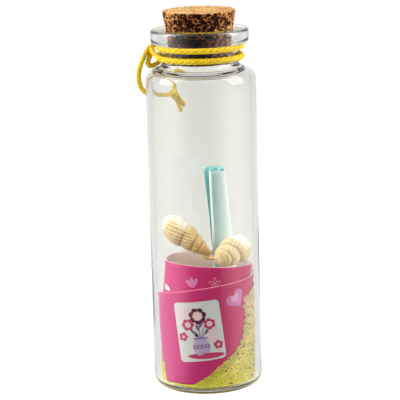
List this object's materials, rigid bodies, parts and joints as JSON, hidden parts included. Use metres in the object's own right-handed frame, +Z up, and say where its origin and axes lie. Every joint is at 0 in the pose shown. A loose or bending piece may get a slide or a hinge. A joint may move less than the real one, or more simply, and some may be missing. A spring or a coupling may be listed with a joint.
{
  "type": "corked glass keepsake bottle",
  "caption": "Small clear glass bottle with a tapered cork and a cord loop on its neck, holding sand, a rolled card, a paper scroll and small shells.",
  "frame": {"origin": "middle of the base, on the table", "axes": "+Z up along the bottle's axis, -Y towards the front with the printed panel, +X to the right seen from the front"},
  "size_m": [0.0325, 0.0314, 0.104],
  "materials": {
    "clear_glass": "clear, smooth",
    "cork": "cork, pitted",
    "sand": "loose coloured grains",
    "card": "satin, printed",
    "paper": "matte",
    "ring_metal": "polished",
    "shell": "natural shell, ribbed",
    "cord": "waxed, braided"
  },
  "bodies": {
    "bottle": {"bottle": "clear_glass", "sand": "sand", "card_roll": "card", "scroll": "paper", "scroll_ring": "ring_metal", "shell_left": "shell", "shell_right": "shell", "cord_turns": "cord", "cord_hitch": "cord", "cord_loop": "cord", "cord_knot": "cord"},
    "stopper": {"stopper": "cork"}
  },
  "joints": [
    {"name": "stopper_pull", "type": "slide", "parent": "bottle", "child": "stopper", "axis": [0, 0, 1], "range_m": [0, 0.03]}
  ]
}
